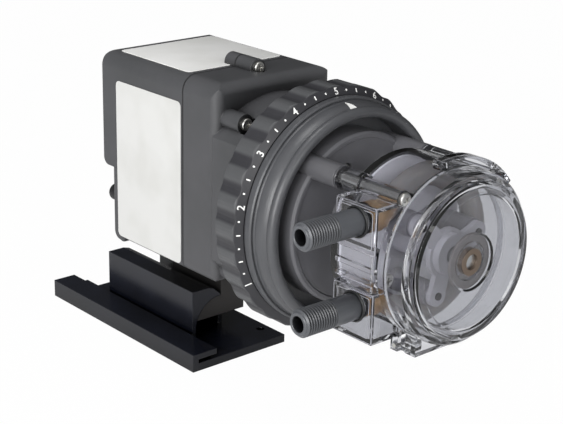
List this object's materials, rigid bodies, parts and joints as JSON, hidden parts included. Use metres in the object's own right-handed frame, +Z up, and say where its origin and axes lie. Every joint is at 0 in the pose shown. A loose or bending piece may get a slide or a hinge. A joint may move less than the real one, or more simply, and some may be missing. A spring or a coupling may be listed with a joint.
{
  "type": "peristaltic metering pump",
  "caption": "Roller pump on a slide-on bracket: motor housing, numbered feed dial, clear head with two side ports and a lift-off cover.",
  "frame": {"origin": "centre of the mounting bracket's underside", "axes": "+Z up, the pump head looks along -Y, +X to the right seen from the head"},
  "size_m": [0.1522, 0.329, 0.1864],
  "materials": {
    "bracket_plastic": "semi-gloss",
    "housing_plastic": "satin, finely textured",
    "dial_plastic": "satin",
    "bezel_plastic": "satin",
    "black_plastic": "matt",
    "clear_plastic": "clear, glossy",
    "grey_fitting": "satin",
    "tube_rubber": "soft sheen",
    "white_plastic": "satin",
    "screw_steel": "bright",
    "shaft_steel": "ground",
    "lamination_steel": "dull",
    "copper_coil": "taped winding",
    "bronze": "sintered"
  },
  "bodies": {
    "bracket": {"mounting_bracket": "bracket_plastic"},
    "pump": {"slide_foot": "housing_plastic", "rear_cover": "housing_plastic", "front_cover": "housing_plastic", "cord_gland": "black_plastic", "housing_screws": "screw_steel", "stator_core": "lamination_steel", "field_coil": "copper_coil", "motor_brackets": "shaft_steel", "motor_bearings": "bronze", "gear_plate": "shaft_steel", "neck_bearing": "bronze", "bezel": "bezel_plastic", "head_bracket": "bezel_plastic", "shaft_bearing": "bronze", "bracket_screws": "screw_steel", "tube_housing": "clear_plastic", "head_screws": "screw_steel", "upper_fitting": "grey_fitting", "lower_fitting": "grey_fitting", "tube_clamps": "white_plastic", "pump_tube": "tube_rubber", "latch_pin": "screw_steel", "stop_pin": "screw_steel"},
    "rotor": {"rotor_core": "lamination_steel", "motor_shaft": "shaft_steel"},
    "first_reduction": {"first_gear": "white_plastic"},
    "second_reduction": {"second_gear": "white_plastic"},
    "drive": {"output_gear": "white_plastic", "drive_shaft": "shaft_steel", "index_plate": "shaft_steel", "roller_carrier": "white_plastic", "roller_axles": "shaft_steel"},
    "roller_one": {"roller_1": "white_plastic"},
    "roller_two": {"roller_2": "white_plastic"},
    "roller_three": {"roller_3": "white_plastic"},
    "dial": {"dial_ring": "dial_plastic"},
    "cover": {"head_cover": "clear_plastic", "cover_bearing": "bronze"},
    "latch": {"bottom_latch": "clear_plastic"}
  },
  "joints": [
    {"name": "pump_slide", "type": "slide", "parent": "bracket", "child": "pump", "axis": [0, -1, 0], "range_m": [0, 0.052]},
    {"name": "drive_spin", "type": "hinge", "parent": "pump", "child": "drive", "pos_m": [0, -0.17, 0.116], "axis": [0, -1, 0], "continuous": true},
    {"name": "second_gear_spin", "type": "hinge", "parent": "pump", "child": "second_reduction", "pos_m": [-0.012, -0.09, 0.13678], "axis": [0, -1, 0], "continuous": true},
    {"name": "first_gear_spin", "type": "hinge", "parent": "pump", "child": "first_reduction", "pos_m": [0.012, -0.085, 0.13678], "axis": [0, -1, 0], "continuous": true},
    {"name": "rotor_spin", "type": "hinge", "parent": "pump", "child": "rotor", "pos_m": [0, -0.045, 0.116], "axis": [0, -1, 0], "continuous": true},
    {"name": "roller_one_spin", "type": "hinge", "parent": "drive", "child": "roller_one", "pos_m": [0.02182, -0.219, 0.12226], "axis": [0, -1, 0], "continuous": true},
    {"name": "roller_two_spin", "type": "hinge", "parent": "drive", "child": "roller_two", "pos_m": [-0.01633, -0.219, 0.13177], "axis": [0, -1, 0], "continuous": true},
    {"name": "roller_three_spin", "type": "hinge", "parent": "drive", "child": "roller_three", "pos_m": [-0.00549, -0.219, 0.09397], "axis": [0, -1, 0], "continuous": true},
    {"name": "dial_turn", "type": "hinge", "parent": "pump", "child": "dial", "pos_m": [0, -0.145, 0.116], "axis": [0, -1, 0], "range_deg": [-132.4, 114.9]},
    {"name": "cover_lift", "type": "slide", "parent": "pump", "child": "cover", "axis": [0, -1, 0], "range_m": [0, 0.04]},
    {"name": "latch_swing", "type": "hinge", "parent": "pump", "child": "latch", "pos_m": [-0.0246, -0.2325, 0.073], "axis": [1, 0, 0], "range_deg": [0, 75]}
  ],
  "couplings": [
    {"joint": "second_gear_spin", "follows": "drive_spin", "ratio": -3.2857},
    {"joint": "first_gear_spin", "follows": "drive_spin", "ratio": 10.796},
    {"joint": "rotor_spin", "follows": "drive_spin", "ratio": -35.472},
    {"joint": "roller_one_spin", "follows": "drive_spin", "ratio": -5},
    {"joint": "roller_two_spin", "follows": "drive_spin", "ratio": -5},
    {"joint": "roller_three_spin", "follows": "drive_spin", "ratio": -5}
  ]
}
